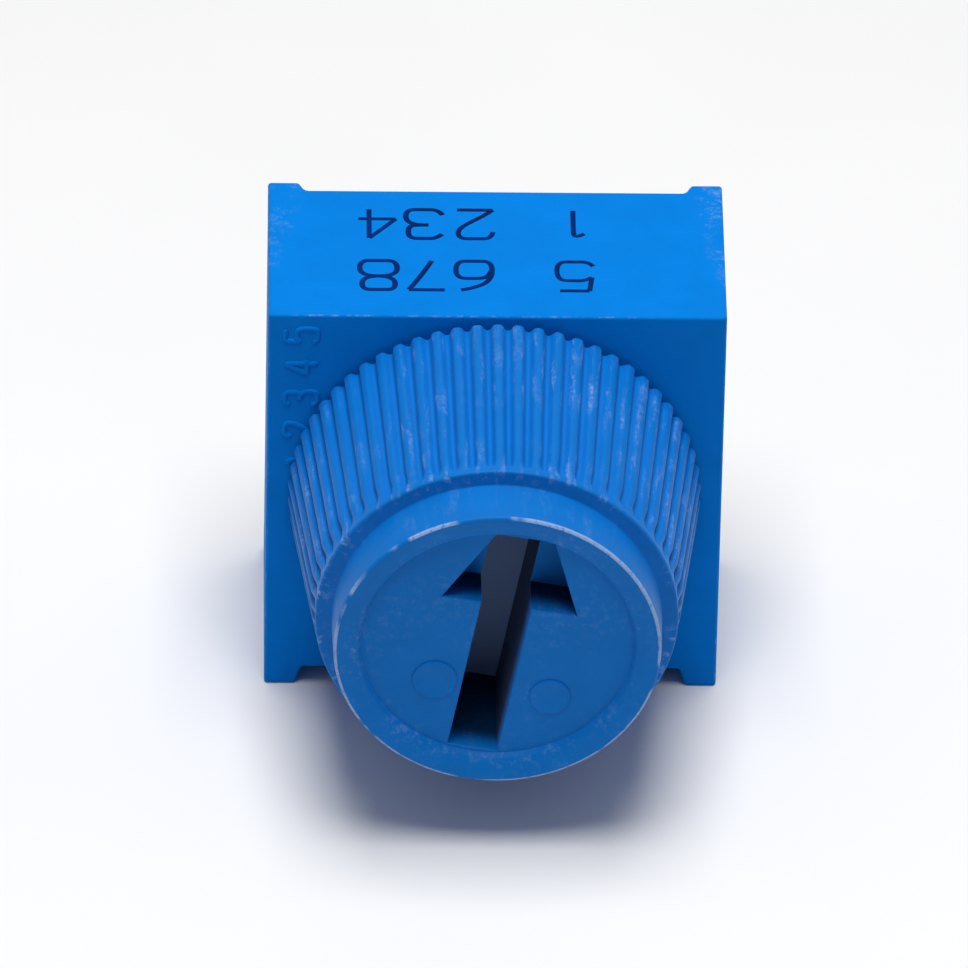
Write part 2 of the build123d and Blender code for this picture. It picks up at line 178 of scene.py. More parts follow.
def settle():
    """Applies the place, turn and scale of the active object, and returns it."""
    bpy.ops.object.transform_apply(location=True, rotation=True, scale=True)
    return bpy.context.object


def edit(thing):
    """Opens an object in edit mode with all of it selected."""
    choose(thing)
    bpy.ops.object.mode_set(mode="EDIT")
    bpy.ops.mesh.select_mode(type="VERT")
    bpy.ops.mesh.select_all(action="SELECT")


def pick(kind, test):
    """Selects, in edit mode, the vertices, edges or faces that pass a test."""
    bpy.ops.mesh.select_mode(type=kind)
    bpy.ops.mesh.select_all(action="DESELECT")
    form = bmesh.from_edit_mesh(bpy.context.edit_object.data)
    for element in {"VERT": form.verts, "EDGE": form.edges, "FACE": form.faces}[kind]:
        if test(element):
            element.select_set(True)
    form.select_flush_mode()
    bmesh.update_edit_mesh(bpy.context.edit_object.data)


def at(value, place, slack=0.001):
    """Whether two lengths in millimetres are the same."""
    return abs(value - place) < slack


def block(low, high):
    """A box between two corners, as an object."""
    low, high = Vector(low), Vector(high)
    clear_selection()
    bpy.ops.mesh.primitive_cube_add(size=1, location=(low + high) / 2, scale=high - low)
    return settle()


def turned(rings, segments, centre):
    """An open shell round an axis along Y through (x, z), from rings given as (y, radius)."""
    x, z = centre
    y, radius = rings[0]
    clear_selection()
    facing_front = (math.pi / 2, 0, 0)
    bpy.ops.mesh.primitive_circle_add(
        vertices=segments, radius=radius, fill_type="NOTHING", location=(x, y, z), rotation=facing_front
    )
    shell = settle()
    edit(shell)
    for next_y, next_radius in rings[1:]:
        share = next_radius / radius
        bpy.ops.mesh.extrude_region_move(TRANSFORM_OT_translate={"value": (0, next_y - y, 0)})
        bpy.ops.transform.resize(value=(share, 1, share), center_override=(x, next_y, z))
        y, radius = next_y, next_radius
    return shell


def close_ends():
    """Fills each open ring of the mesh in edit mode with one face, and points the faces outwards."""
    bpy.ops.mesh.select_mode(type="EDGE")
    bpy.ops.mesh.select_all(action="DESELECT")
    bpy.ops.mesh.select_non_manifold(
        extend=False, use_wire=False, use_multi_face=False, use_non_contiguous=False
    )
    bpy.ops.mesh.edge_face_add()
    bpy.ops.mesh.select_all(action="SELECT")
    bpy.ops.mesh.normals_make_consistent(inside=False)


def arc(centre_y, centre_radius, size, start, end, steps):
    """Points of a rounded edge as (y, radius); angles are from the front, towards larger radius."""
    points = []
    for step in range(steps + 1):
        angle = math.radians(start + (end - start) * step / steps)
        points.append((centre_y - size * math.cos(angle), centre_radius + size * math.sin(angle)))
    return points


def cut(thing, cutter):
    """Cuts one object out of another and deletes the cutter."""
    choose(thing)
    modifier = thing.modifiers.new("cut", "BOOLEAN")
    modifier.operation = "DIFFERENCE"
    modifier.solver = "EXACT"
    modifier.object = cutter
    bpy.ops.object.modifier_apply(modifier=modifier.name)
    bpy.data.objects.remove(cutter, do_unlink=True)


def split_wide_faces(thing):
    """Splits every face of more than four sides into triangles while the piece is still large."""
    choose(thing)
    split = thing.modifiers.new("split", "TRIANGULATE")
    split.min_vertices = 5
    split.ngon_method = "BEAUTY"
    bpy.ops.object.modifier_apply(modifier=split.name)


def round_edges(thing, width, segments, angle=35.0):
    """Rounds every edge sharper than an angle in degrees."""
    choose(thing)
    bevel = thing.modifiers.new("round", "BEVEL")
    bevel.width = width
    bevel.segments = segments
    bevel.limit_method = "ANGLE"
    bevel.angle_limit = math.radians(angle)
    bevel.miter_outer = "MITER_ARC"
    bpy.ops.object.modifier_apply(modifier=bevel.name)


def even_shading(thing):
    """Splits the wide faces, smooths the rounded edges and keeps the flats flat."""
    split_wide_faces(thing)
    bpy.ops.object.shade_smooth_by_angle(angle=math.radians(60))
    weighted = thing.modifiers.new("flats", "WEIGHTED_NORMAL")
    weighted.keep_sharp = True
    weighted.weight = 100
    bpy.ops.object.modifier_apply(modifier=weighted.name)


def joined(things):
    """Joins objects into the first of them."""
    choose(*things)
    bpy.ops.object.join()
    return bpy.context.object


def finish_piece(thing, name, body, material, slot, *nodes):
    """Shrinks a piece to metres, names it, gives it its finish and lets it ride on its body."""
    choose(thing)
    bpy.ops.transform.resize(value=(MM, MM, MM), center_override=(0, 0, 0))
    settle()
    thing.name = name
    thing.data.name = name
    thing.data.materials.clear()
    thing.data.materials.append(material)
    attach(thing, body)
    if nodes:
        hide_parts(*nodes)
    clear_selection()


# ---------------------------------------------------------------- node tools


class Nodes:
    """Adds and links shader nodes in one tree."""

    def __init__(self, tree):
        self.tree = tree
        self.tree.nodes.clear()

    def add(self, kind, values=None, **settings):
        """Adds a node, sets its attributes, and sets or links its inputs."""
        node = self.tree.nodes.new(kind)
        for name, value in settings.items():
            setattr(node, name, value)
        for name, value in (values or {}).items():
            socket = node.inputs[name]
            if isinstance(value, bpy.types.NodeSocket):
                self.tree.links.new(value, socket)
            else:
                socket.default_value = value
        return node

    def math(self, operation, first, second, clamp=False):
        """A Math node's result."""
        node = self.add("ShaderNodeMath", {0: first, 1: second}, operation=operation, use_clamp=clamp)
        return node.outputs[0]

    def noise(self, place, scale, detail, roughness, distortion=0.0):
        """A noise between 0 and 1."""
        values = {"Vector": place, "Scale": scale, "Detail": detail, "Roughness": roughness}
        values["Distortion"] = distortion
        return self.add("ShaderNodeTexNoise", values).outputs["Fac"]

    def between(self, value, low, high, new_low=0.0, new_high=1.0):
        """A value moved from one range to another, and held inside the new one."""
        values = {"Value": value, "From Min": low, "From Max": high, "To Min": new_low, "To Max": new_high}
        return self.add("ShaderNodeMapRange", values, interpolation_type="SMOOTHSTEP").outputs["Result"]

    def mix(self, share, first, second):
        """Two colours mixed by a share, which is a socket; each colour is a socket or a tuple."""
        node = self.add("ShaderNodeMix", data_type="RGBA")
        for socket, value in zip((node.inputs[0], node.inputs[6], node.inputs[7]), (share, first, second)):
            if isinstance(value, bpy.types.NodeSocket):
                self.tree.links.new(value, socket)
            else:
                socket.default_value = (*value[:3], 1.0)
        return node.outputs[2]


def new_group(name, inputs, outputs):
    """A shader node group with named inputs and outputs, and its Nodes, input and output node."""
    tree = bpy.data.node_groups.new(name, "ShaderNodeTree")
    for label, kind in inputs:
        tree.interface.new_socket(label, in_out="INPUT", socket_type="NodeSocket" + kind)
    for label, kind in outputs:
        tree.interface.new_socket(label, in_out="OUTPUT", socket_type="NodeSocket" + kind)
    nodes = Nodes(tree)
    return tree, nodes, nodes.add("NodeGroupInput").outputs, nodes.add("NodeGroupOutput")


def moulded_grain_group():
    """Fine unevenness of a moulded surface: a height and a small change of shade."""
    inputs = (("Scale", "Float"), ("Coarse", "Float"))
    outputs = (("Height", "Float"), ("Shade", "Float"))
    tree, nodes, given, result = new_group("moulded_grain", inputs, outputs)
    place = nodes.add("ShaderNodeTexCoord").outputs["Object"]
    fine = nodes.noise(place, given["Scale"], 4.0, 0.6)
    broad = nodes.noise(place, nodes.math("MULTIPLY", given["Scale"], 0.07), 3.0, 0.55)
    height = nodes.math("ADD", nodes.math("MULTIPLY", broad, given["Coarse"]), fine)
    tree.links.new(height, result.inputs["Height"])
    tree.links.new(nodes.between(broad, 0.3, 0.7), result.inputs["Shade"])
    return tree


def rubbed_group():
    """Where a surface is rubbed pale: worn places broken by streaks and speckle, and a few open marks."""
    inputs = (("Scale", "Float"), ("Streak", "Float"), ("Edge", "Float"), ("Open", "Float"))
    tree, nodes, given, result = new_group("rubbed", inputs, (("Mask", "Float"),))
    place = nodes.add("ShaderNodeTexCoord").outputs["Object"]
    wear = nodes.add("ShaderNodeAttribute", attribute_name="wear").outputs["Fac"]
    line = nodes.add("ShaderNodeAttribute", attribute_name="worn_edge").outputs["Fac"]
    drawn = nodes.add("ShaderNodeCombineXYZ", {"X": 1.0, "Y": given["Streak"], "Z": 1.0}).outputs[0]
    along = nodes.add("ShaderNodeVectorMath", {0: place, 1: drawn}, operation="MULTIPLY").outputs[0]
    patch = nodes.noise(place, nodes.math("MULTIPLY", given["Scale"], 0.11), 3.0, 0.6)
    streak = nodes.noise(along, given["Scale"], 4.0, 0.65)
    speckle = nodes.noise(place, nodes.math("MULTIPLY", given["Scale"], 1.7), 5.0, 0.75, 0.3)
    broken = nodes.math("MULTIPLY", nodes.between(streak, 0.46, 0.66), nodes.between(speckle, 0.36, 0.62))
    broken = nodes.math("MULTIPLY", broken, nodes.between(patch, 0.38, 0.64))
    edge = nodes.math("MULTIPLY", wear, broken)
    gaps = nodes.math("MULTIPLY", nodes.between(patch, 0.43, 0.50), nodes.between(speckle, 0.30, 0.50))
    crisp = nodes.math("MULTIPLY", nodes.between(line, 0.45, 0.8), gaps)
    edges = nodes.math("MULTIPLY", nodes.math("MAXIMUM", edge, crisp), given["Edge"])
    spot = nodes.math("MULTIPLY", nodes.between(speckle, 0.66, 0.76), nodes.between(patch, 0.52, 0.66))
    marks = nodes.math("MULTIPLY", spot, given["Open"])
    tree.links.new(nodes.math("ADD", edges, marks, clamp=True), result.inputs["Mask"])
    return tree


GROUPS = {}


def group(name):
    """A shader node group, built the first time that it is asked for."""
    makers = {"moulded_grain": moulded_grain_group, "rubbed": rubbed_group}
    if name not in GROUPS:
        GROUPS[name] = makers[name]()
    return GROUPS[name]


def new_material(name):
    """An empty node material, and its Nodes."""
    material = bpy.data.materials.new(name)
    material.use_nodes = True
    return material, Nodes(material.node_tree)


def end_material(nodes, base, roughness, height, bump, **plain):
    """Adds the surface shader with its bump, and the material's output."""
    values = {"Base Color": base, "Roughness": roughness}
    values.update({name.replace("_", " "): value for name, value in plain.items()})
    shader = nodes.add("ShaderNodeBsdfPrincipled", values)
    bumped = nodes.add("ShaderNodeBump", {"Height": height, "Strength": bump, "Distance": BUMP_REACH})
    nodes.tree.links.new(bumped.outputs["Normal"], shader.inputs["Normal"])
    nodes.add("ShaderNodeOutputMaterial", {"Surface": shader.outputs[0]})


def grain(nodes, scale, coarse=1.0):
    """The moulded grain's height and shade."""
    node = nodes.add("ShaderNodeGroup", node_tree=group("moulded_grain"))
    node.inputs["Scale"].default_value = scale
    node.inputs["Coarse"].default_value = coarse
    return node.outputs["Height"], node.outputs["Shade"]


def rubbed(nodes, scale, streak, edge, open_marks):
    """The rubbed mask."""
    node = nodes.add("ShaderNodeGroup", node_tree=group("rubbed"))
    for name, value in (("Scale", scale), ("Streak", streak), ("Edge", edge), ("Open", open_marks)):
        node.inputs[name].default_value = value
    return node.outputs["Mask"]


def darker(shade, share):
    """A colour times a share."""
    return tuple(part * share for part in shade[:3])


def plastic_material(name, shade, scuff_and_reflection, edge, open_marks, streak, rough, **plain):
    """Moulded plastic with a fine grain, rubbed pale where it is worn, with painted shade on the walls of
    what is sunk below the face and a painted reflection on its deepest floor.
    """
    material, nodes = new_material(name)
    height, variation = grain(nodes, 16000.0, 0.3)
    mask = rubbed(nodes, 5200.0, streak, edge, open_marks)
    place = nodes.add("ShaderNodeTexCoord").outputs
    fine = nodes.noise(place["Object"], 24000.0, 2.0, 0.6)
    base = nodes.mix(variation, darker(shade, 0.97), darker(shade, 1.03))
    base = nodes.mix(nodes.between(fine, 0.35, 0.65, 0.0, 0.10), base, darker(shade, 0.72))
    # Painted shade darkens the walls of what is sunk below the face, and a painted reflection lightens its
    # deepest floor where it faces the front.
    sunk = nodes.add("ShaderNodeAttribute", attribute_name="sunk").outputs["Fac"]
    facing = nodes.add("ShaderNodeSeparateXYZ", {0: place["Normal"]}).outputs["Y"]
    sideways = nodes.between(facing, -0.95, -0.6)
    frontways = nodes.between(facing, -0.95, -0.6, 0.7, 0.0)
    painted_wall_shade = nodes.math("MULTIPLY", sideways, nodes.between(sunk, 0.02, 0.25, 0.0, 0.9))
    painted_floor_reflection = nodes.math("MULTIPLY", frontways, nodes.between(sunk, 0.9, 0.99))
    # Painted shade: the sunk walls are darkened to near black.
    base = nodes.mix(painted_wall_shade, base, darker(shade, 0.08))
    # Painted reflection: the pale colour mixed into the deepest front-facing floor stands for the lit floor
    # in front, not for wear.
    base = nodes.mix(painted_floor_reflection, base, scuff_and_reflection)
    worn = nodes.mix(mask, base, scuff_and_reflection)
    roughness = nodes.between(mask, 0, 1, rough, min(1.0, rough + 0.3))
    lifted = nodes.math("ADD", height, nodes.math("MULTIPLY", mask, 0.5))
    end_material(nodes, worn, roughness, lifted, 0.2, **plain)
    return material


def even_material(name, shade, roughness, scale, contrast=0.06, bump=0.2, **plain):
    """A finish with a fine grain and a slight change of shade, for what isn't rubbed."""
    material, nodes = new_material(name)
    height, variation = grain(nodes, scale)
    base = nodes.mix(variation, darker(shade, 1 - contrast), darker(shade, 1 + contrast))
    rough = nodes.between(variation, 0, 1, roughness * 0.9, min(1.0, roughness * 1.15))
    end_material(nodes, base, rough, height, bump, **plain)
    return material


# ---------------------------------------------------------------- knob


def knurl_fall(distance):
    """How far the drum's outline falls, as a share of its depth, at a share of a pitch from a crest."""
    ridge_half = 0.30
    flank = 0.60
    if distance <= ridge_half:
        return flank * (distance / ridge_half) ** 4
    into_valley = (0.5 - distance) / (0.5 - ridge_half)
    return 1 - (1 - flank) * into_valley**2


# How much of the valleys' depth is left at a distance in millimetres behind the drum's front end.
VALLEY_FADE = (
    (0.46, 0.97), (0.38, 0.86), (0.31, 0.66), (0.25, 0.40), (0.20, 0.18), (0.16, 0.05),
    (0.12, 0.0), (0.06, 0.0), (0.03, 0.0), (0.01, 0.0), (0.0, 0.0),
)


def knob_rings(sizes):
    """The knob's rings from the bottom of its socket, round its back and its drum, to the sunk face."""
    stub_radius = 1.90
    boss_radius = 2.60
    core_radius = 3.48
    core_floor = knob_high.y - 2.0
    drum_rear = (knob_high.z - knob_low.z) / 2
    front = knob_low.y
    collar_rear = knob_high.y - sizes.knurl_length / MM
    drum_front = sizes.drum_front_radius / MM
    inside = [
        (socket_floor, stub_radius),
        (knob_high.y, stub_radius),
        (knob_high.y, boss_radius),
        (core_floor, boss_radius),
        (core_floor, core_radius),
        (knob_high.y, core_radius),
    ]
    drum = [
        (knob_high.y, drum_rear - 0.09),
        (knob_high.y - 0.03, drum_rear - 0.03),
        (knob_high.y - 0.08, drum_rear - 0.01),
    ]
    stretches = 12
    for step in range(1, stretches - 1):
        share = step / stretches
        along = knob_high.y + (collar_rear - knob_high.y) * share
        drum.append((along, drum_rear + (drum_front - drum_rear) * share))
    front_edge = 0.06
    for behind, _ in VALLEY_FADE:
        inside_edge = max(0.0, front_edge - behind)
        rounding = front_edge - math.sqrt(front_edge**2 - inside_edge**2)
        drum.append((collar_rear + behind, drum_front - rounding))
    edge = 0.08
    collar_radius = sizes.collar_front_radius / MM
    face_floor = front + sizes.face_depth / MM
    mouth = sizes.face_radius / MM
    dish = front + sizes.rim_dish / MM
    collar_root = sizes.collar_rear_radius / MM
    collar = [
        (collar_rear, collar_root + 0.05),
        (collar_rear - 0.02, collar_root + 0.01),
        (collar_rear - 0.06, collar_root),
        ((collar_rear + front) / 2, (collar_root + collar_radius) / 2),
    ]
    collar += arc(front + edge, collar_radius - edge, edge, 85, 0, 6)
    collar += [
        (front + 0.012, collar_radius - edge - 0.06),
        ((front + dish) / 2, (collar_radius - edge + mouth) / 2),
        (dish - 0.006, mouth + 0.02),
        (dish + 0.012, mouth),
        (face_floor - 0.02, mouth - 0.04),
        (face_floor, mouth - 0.055),
    ]
    return inside, drum, collar


def knob_local(right, up, y):
    """The place of a point on the knob's face, given across and along its pointer."""
    turn = Matrix.Rotation(pointer_tilt, 3, "Y")
    return turn @ Vector((right, 0, up)) + Vector((0, y, axis_height))


def widened(outline, margin):
    """An outline that runs clockwise seen from the front, moved outwards by a margin."""
    corners = []
    for index, corner in enumerate(outline):
        here = Vector(corner)
        before, after = Vector(outline[index - 1]), Vector(outline[(index + 1) % len(outline)])
        sides = [(here - before).normalized(), (after - here).normalized()]
        first, second = (Vector((-side.y, side.x)) for side in sides)
        corners.append(here + (first + second) * margin / (1 + first.dot(second)))
    return corners


def outline_cutter(outline, floor, rear, edge=0.022):
    """A prism along Y whose mouth at the floor flares by the width of a broken edge."""
    mouth = widened(outline, edge)
    layers = ((mouth, floor - 0.05), (mouth, floor), (outline, floor + edge), (outline, rear))
    mesh = bpy.data.meshes.new("cutter")
    form = bmesh.new()
    rings = [[form.verts.new(knob_local(right, up, y)) for right, up in points] for points, y in layers]
    count = len(outline)
    for near, far in zip(rings, rings[1:]):
        for index in range(count):
            following = (index + 1) % count
            form.faces.new((near[index], near[following], far[following], far[index]))
    form.faces.new(rings[0])
    form.faces.new(rings[-1])
    bmesh.ops.recalc_face_normals(form, faces=form.faces)
    form.to_mesh(mesh)
    form.free()
    cutter = bpy.data.objects.new("cutter", mesh)
    bpy.context.collection.objects.link(cutter)
    return cutter


def raised_mark(right, up, radius, face_floor):
    """A low round mark left by an ejector pin on the sunk face."""
    place = knob_local(right, up, face_floor)
    rings = [
        (face_floor + 0.05, radius),
        (face_floor - 0.03, radius),
        (face_floor - 0.045, radius - 0.02),
        (face_floor - 0.05, radius - 0.05),
        (face_floor - 0.025, radius - 0.10),
        (face_floor - 0.015, 0.02),
    ]
    mark = turned(rings, 64, (place.x, place.z))
    close_ends()
    bpy.ops.object.mode_set(mode="OBJECT")
    return mark


def store_wear(thing, measure, name="wear"):
    """Stores a measure from 0 to 1 at each vertex, such as how exposed it is to rubbing."""
    layer = thing.data.attributes.new(name, "FLOAT", "POINT")
    for vertex, item in zip(thing.data.vertices, layer.data):
        item.value = max(0.0, min(1.0, measure(vertex.co)))


def build_knob(sizes, material):
    """The knob: knurled drum, collar, dished rim, sunk face, driver slot, arrow and ejector marks."""
    per_ridge = 12
    inside, drum, collar = knob_rings(sizes)
    centre = (0.0, axis_height)
    knob = turned(inside + drum + collar, sizes.knurl_count * per_ridge, centre)
    close_ends()

    slack = 0.001
    drum_rear, drum_front = drum[0][0], drum[-1][0]
    inner_limit = collar[0][1] + 0.02
    pitch = 2 * math.pi / sizes.knurl_count

    def radius_of(place):
        return math.hypot(place.x, place.z - axis_height)

    def crest_distance(place):
        turns = math.atan2(place.x, place.z - axis_height) / pitch
        return abs(turns - round(turns))

    def on_drum(place):
        return drum_front - slack <= place.y <= drum_rear + slack and radius_of(place) > inner_limit

    fades = [(drum_front + VALLEY_FADE[0][0] + slack, drum_rear + slack, 1.0)]
    for behind, kept in VALLEY_FADE:
        if kept:
            fades.append((drum_front + behind - slack, drum_front + behind + slack, kept))
    for step in range(1, per_ridge // 2 + 1):
        distance = step / per_ridge
        for low, high, kept in fades:
            fall = kept * knurl_fall(distance) * sizes.knurl_depth / MM
            share = 1 - fall / (sizes.drum_front_radius / MM)

            def in_valley(vertex):
                place = vertex.co
                return low < place.y < high and on_drum(place) and at(crest_distance(place), distance, 0.02)

            pick("VERT", in_valley)
            bpy.ops.transform.resize(value=(share, 1, share), center_override=(0, 0, axis_height))

    bpy.ops.object.mode_set(mode="OBJECT")

    face_floor, face_edge = collar[-1]
    wall_gap = 0.045
    half_slot = sizes.slot_width / MM / 2
    slot_end = math.sqrt(face_edge**2 - half_slot**2) - wall_gap
    slot = [(-half_slot, -slot_end), (-half_slot, slot_end), (half_slot, slot_end), (half_slot, -slot_end)]
    arrow_middle, arrow_base, arrow_half = 0.07, 0.97, 1.42
    arrow_top = slot_end - 0.03
    half_angle = math.radians(24.8)
    top_half = arrow_half - (arrow_top - arrow_base) * math.tan(half_angle)
    left, right = arrow_middle - arrow_half, arrow_middle + arrow_half
    arrow = [
        (left, arrow_base),
        (arrow_middle - top_half, arrow_top),
        (arrow_middle + top_half, arrow_top),
        (right, arrow_base),
    ]
    cut(knob, outline_cutter(slot, face_floor, face_floor + sizes.slot_depth / MM))
    cut(knob, outline_cutter(arrow, face_floor, face_floor + sizes.arrow_depth / MM))
    split_wide_faces(knob)
    bpy.ops.object.shade_smooth_by_angle(angle=math.radians(38))

    mark_places = ((1.33, -1.14, 0.42), (-1.10, -1.14, 0.46))
    marks = [raised_mark(right, up, radius, face_floor) for right, up, radius in mark_places]
    for mark in marks:
        choose(mark)
        bpy.ops.object.shade_smooth_by_angle(angle=math.radians(50))
    knob = joined([knob] + marks)

    rim_radius = sizes.collar_front_radius / MM

    def wear(place):
        """Rubbing of the ridges' crests, most on their shoulders and near the front, and of the face."""
        if on_drum(place):
            distance = crest_distance(place)
            crest_half, worn_length = 0.30, 0.40
            if distance > crest_half:
                return 0.0
            at_end = max(0.0, 1 - (place.y - drum_front) / worn_length)
            shoulder = math.exp(-(((distance - 0.22) / 0.07) ** 2))
            return 0.30 + 0.55 * shoulder + 0.45 * at_end
        if at(radius_of(place), sizes.face_radius / MM, 0.05):
            return 0.35
        return 0.12 if place.y < drum_front else 0.0

    def worn_edge(place):
        """The collar's front edge."""
        on_rim = radius_of(place) > rim_radius - 0.075 and place.y < knob_low.y + 0.06
        return 1.0 if on_rim else 0.0

    def sunk(place):
        """How deep in the slot or the arrow, as a share of the slot's depth."""
        below = (place.y - face_floor) / (sizes.slot_depth / MM)
        return below if radius_of(place) < slot_end + 0.1 else 0.0

    store_wear(knob, worn_edge, "worn_edge")
    # The depth in the slot and the arrow places the painted shade on their walls and the painted reflection
    # on their floors.
    store_wear(knob, sunk, "sunk")
    store_wear(knob, wear)
    finish_piece(knob, "knurled_knob", "rotor", material, "knob_plastic", "knob")


# ---------------------------------------------------------------- housing

# Each plain digit as lines of points on a grid four wide and six high.
DIGIT_LINES = {
    "1": [[(1, 4.8), (2.2, 6), (2.2, 3), (2.2, 0)]],
    "2": [
        [(0, 4.6), (0.2, 6), (2, 6), (3.8, 6), (4, 4.2), (2.6, 2.6), (1, 1.2), (0, 0)],
        [(0, 0), (2, 0), (4, 0)],
    ],
    "3": [
        [(0.1, 5.1), (0.8, 6), (2, 6), (3.9, 6), (3.9, 3.4), (2.6, 3.2), (1.6, 3.2)],
        [(2.2, 3.2), (4.1, 3.1), (4.2, 0), (2, 0), (0.5, 0), (0, 1.1)],
    ],
    "4": [[(3, 0), (3, 3), (3, 6)], [(3, 6), (1.5, 4), (0, 2)], [(0, 2), (2, 2), (4.2, 2)]],
    "5": [
        [(3.8, 6), (2, 6), (0.5, 6)],
        [(0.5, 6), (0.35, 4.6), (0.2, 3.2)],
        [(0.2, 3.2), (1, 3.9), (2.2, 3.9), (4.1, 3.8), (4.1, 0), (2, 0), (0.5, 0), (0, 0.9)],
    ],
    "6": [
        [
            (3.5, 6), (1.6, 5.4), (0, 3.6), (0, 0), (2, 0),
            (4, 0), (4.1, 3.5), (2, 3.6), (0.4, 3.4), (0.1, 1.9),
        ],
    ],
    "7": [[(0, 6), (2, 6), (4, 6)], [(4, 6), (2.6, 3.2), (1.4, 0)]],
    "8": [
        [(2, 3.2), (0.2, 3.3), (0.1, 6), (2, 6), (3.9, 6), (3.8, 3.3), (2, 3.2)],
        [(2, 3.2), (-0.1, 3.2), (-0.1, 0), (2, 0), (4.1, 0), (4.1, 3.2), (2, 3.2)],
    ],
}


def drawn_digit(digit, across, up, width, height, stroke, relief):
    """A digit drawn in round-ended strokes: across and up are where its grid's right and up point."""
    curve = bpy.data.curves.new("digit", "CURVE")
    curve.dimensions = "3D"
    curve.bevel_depth = stroke / 2
    curve.bevel_resolution = 2
    curve.resolution_u = 5
    curve.use_fill_caps = True
    for line in DIGIT_LINES[digit]:
        spline = curve.splines.new("NURBS")
        spline.points.add(len(line) - 1)
        for point, (x, y) in zip(spline.points, line):
            point.co = ((x / 4 - 0.5) * width, (y / 6 - 0.5) * height, 0, 1)
        spline.order_u = 3
        spline.use_endpoint_u = True
    drawn = bpy.data.objects.new("digit", curve)
    bpy.context.collection.objects.link(drawn)
    choose(drawn)
    bpy.ops.object.convert(target="MESH")
    drawn = bpy.context.object
    edit(drawn)
    bpy.ops.mesh.remove_doubles(threshold=0.001)
    bpy.ops.object.mode_set(mode="OBJECT")
    drawn.data.transform(Matrix.Diagonal((1, 1, 2 * relief / stroke, 1)))
    out = across.cross(up)
    drawn.data.transform(Matrix((across, up, out)).transposed().to_4x4())
    return drawn


def raised_digits(sizes, block_front):
    """The raised plain digits down the left of the front face, read from the bottom up."""
    margin, stroke, relief = 0.30, 0.12, 0.035
    tall, wide = sizes.digit_height / MM - stroke, sizes.digit_width / MM - stroke
    digits = []
    for place, digit in enumerate("54321"):
        middle_z = housing_high.z - margin - sizes.digit_width / MM / 2 - place * sizes.digit_pitch / MM
        mark = drawn_digit(digit, Vector((0, 0, 1)), Vector((-1, 0, 0)), wide, tall, stroke, relief)
        middle_x = housing_low.x + margin + sizes.digit_height / MM / 2
        mark.data.transform(Matrix.Translation((middle_x, block_front, middle_z)))
        digits.append(mark)
    digits = joined(digits)
    bpy.ops.object.shade_smooth()
    return digits


def build_housing(sizes, material):
    """The housing: block, rails, standoffs, the pocket's wall round the resin, and raised digits."""
    knob_sizes = bpy.context.scene.knob_sizes
    block_front = knob_high.y + knob_sizes.gap / MM
    block_rear = housing_high.y - sizes.standoff_height / MM
    rail = sizes.rail_height / MM
    tip = housing_high.x - sizes.foot_width / MM
    root = tip - sizes.foot_slope / MM
    top = housing_high.z - INK_THICKNESS
    foot_low = sizes.foot_width / MM + sizes.foot_slope / MM
    foot_high = housing_high.z - foot_low
    body = block((housing_low.x, block_front, rail), (housing_high.x, block_rear, top))
    edit(body)
    for x in (-root, root):
        bpy.ops.mesh.select_all(action="SELECT")
        bpy.ops.mesh.bisect(plane_co=(x, 0, 0), plane_no=(1, 0, 0))
    for z in (foot_low, foot_high):
        bpy.ops.mesh.select_all(action="SELECT")
        bpy.ops.mesh.bisect(plane_co=(0, 0, z), plane_no=(0, 0, 1))

    def middle(face):
        return face.calc_center_median()

    pick("FACE", lambda f: at(middle(f).z, rail) and abs(middle(f).x) > root and f.normal.z < -0.9)
    bpy.ops.mesh.extrude_region_move(TRANSFORM_OT_translate={"value": (0, 0, -rail)})
    for side in (-1, 1):
        pick("VERT", lambda v: at(v.co.z, 0) and at(v.co.x, side * root))
        bpy.ops.transform.translate(value=(side * (tip - root), 0, 0))

    def rear_corner(face):
        place = middle(face)
        outside = place.z < foot_low or place.z > foot_high
        return face.normal.y > 0.9 and abs(place.x) > root and outside

    pick("FACE", rear_corner)
    bpy.ops.mesh.extrude_region_move(TRANSFORM_OT_translate={"value": (0, housing_high.y - block_rear, 0)})
    for side in (-1, 1):
        pick("VERT", lambda v: at(v.co.y, housing_high.y) and at(v.co.x, side * root))
        bpy.ops.transform.translate(value=(side * (tip - root), 0, 0))
    for level, move in ((foot_low, -1), (foot_high, 1)):
        pick("VERT", lambda v: at(v.co.y, housing_high.y) and at(v.co.z, level))
        bpy.ops.transform.translate(value=(0, 0, move * sizes.foot_slope / MM))

    bpy.ops.mesh.select_all(action="SELECT")
    bpy.ops.mesh.normals_make_consistent(inside=False)
    bpy.ops.object.mode_set(mode="OBJECT")
    round_edges(body, sizes.edge_radius / MM, 4)
    pocket_floor = resin_high.y - 0.06
    behind = housing_high.y + 1
    cut(body, block((resin_low.x, pocket_floor, resin_low.z), (resin_high.x, behind, resin_high.z)))
    even_shading(body)
    body = joined([body, raised_digits(sizes, block_front)])
    edge = 0.5 * sizes.edge_radius / MM

    def wear(place):
        """The block's edges and corners, where two or more of its sides meet."""
        exposed = 0
        exposed += min(place.x - housing_low.x, housing_high.x - place.x) < edge
        exposed += place.y < block_front + edge
        exposed += housing_high.z - place.z < edge
        exposed += place.y > block_rear - edge
        return 0.0 if exposed < 2 else 1.0

    store_wear(body, wear)
    finish_piece(body, "housing_shell", "housing", material, "housing_plastic", "housing")


